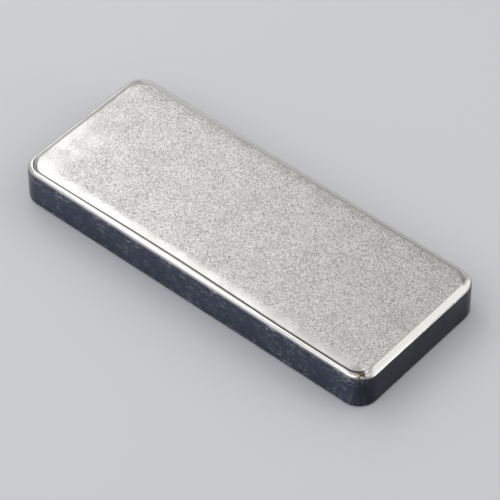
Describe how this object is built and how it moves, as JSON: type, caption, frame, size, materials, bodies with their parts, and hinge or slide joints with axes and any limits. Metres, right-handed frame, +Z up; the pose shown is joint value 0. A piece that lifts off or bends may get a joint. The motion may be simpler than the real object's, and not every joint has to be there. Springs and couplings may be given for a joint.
{
  "type": "silver bar",
  "caption": "Flat rectangular bar of silver with rounded corners, a rolled shoulder and a groove framing a plain satin top panel.",
  "frame": {"origin": "middle of the flat underside", "axes": "+X along the length, +Y across the width, +Z up through the panel"},
  "size_m": [0.135, 0.0548, 0.013],
  "materials": {
    "silver": "satin cast silver with a bright rolled shoulder and dull toned walls"
  },
  "bodies": {
    "root": {"silver_bar": "silver"}
  },
  "joints": []
}
